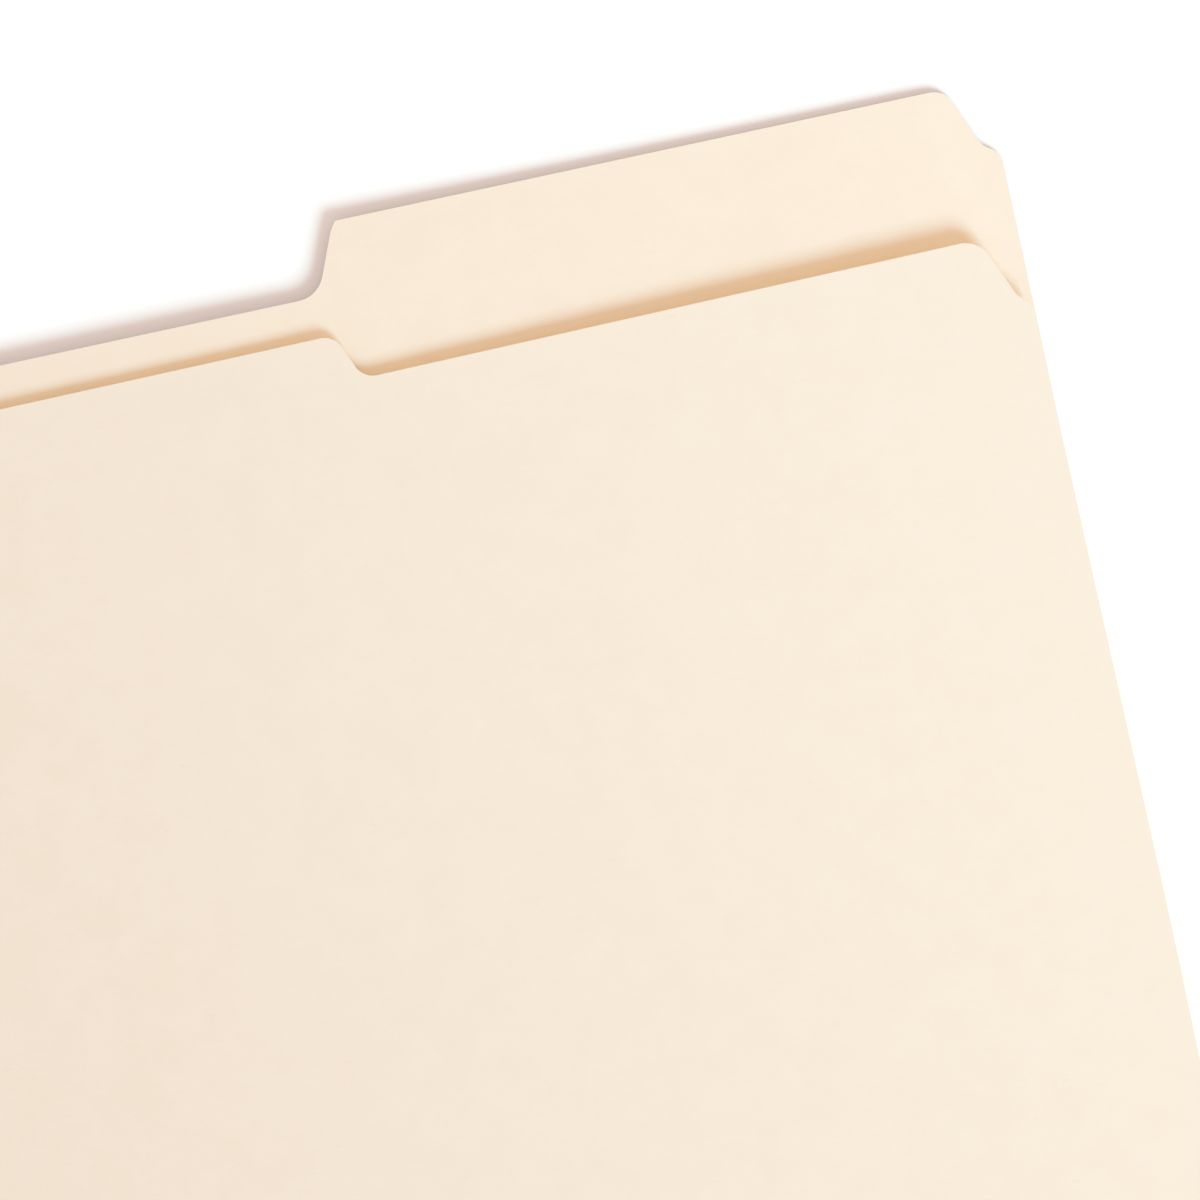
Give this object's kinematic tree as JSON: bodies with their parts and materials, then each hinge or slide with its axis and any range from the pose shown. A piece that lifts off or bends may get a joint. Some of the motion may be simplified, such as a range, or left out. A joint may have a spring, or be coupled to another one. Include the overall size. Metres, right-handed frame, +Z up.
{
  "type": "file folder",
  "caption": "Legal-size manila file folder of folded card, with a tab at the right end of its rear leaf, a stepped cover and a scored gusset beside the fold.",
  "frame": {"origin": "middle of the closed folder's footprint, on the surface it lies on", "axes": "+X along the fold towards the tab's end, +Y from the fold towards the tab, +Z up through the cover"},
  "size_m": [0.3746, 0.2413, 0.0043],
  "materials": {
    "manila": "uncoated, matte"
  },
  "bodies": {
    "rear": {"rear_leaf": "manila", "main_fold": "manila"},
    "strip_1": {"gusset_strip_1": "manila", "score_crease_1": "manila"},
    "strip_2": {"gusset_strip_2": "manila", "score_crease_2": "manila"},
    "strip_3": {"gusset_strip_3": "manila", "score_crease_3": "manila"},
    "cover": {"front_leaf": "manila"}
  },
  "joints": [
    {"name": "cover_open", "type": "hinge", "parent": "rear", "child": "strip_1", "pos_m": [0, -0.1202, 0.00045], "axis": [1, 0, 0], "range_deg": [-0.35, 179.11]},
    {"name": "score_1_bend", "type": "hinge", "parent": "strip_1", "child": "strip_2", "pos_m": [0, -0.11386, 0.001], "axis": [-1, 0, 0], "range_deg": [-30, 0]},
    {"name": "score_2_bend", "type": "hinge", "parent": "strip_2", "child": "strip_3", "pos_m": [0, -0.10751, 0.0011], "axis": [-1, 0, 0], "range_deg": [-30, 0]},
    {"name": "score_3_bend", "type": "hinge", "parent": "strip_3", "child": "cover", "pos_m": [0, -0.10116, 0.0012], "axis": [-1, 0, 0], "range_deg": [-30, 0]}
  ]
}
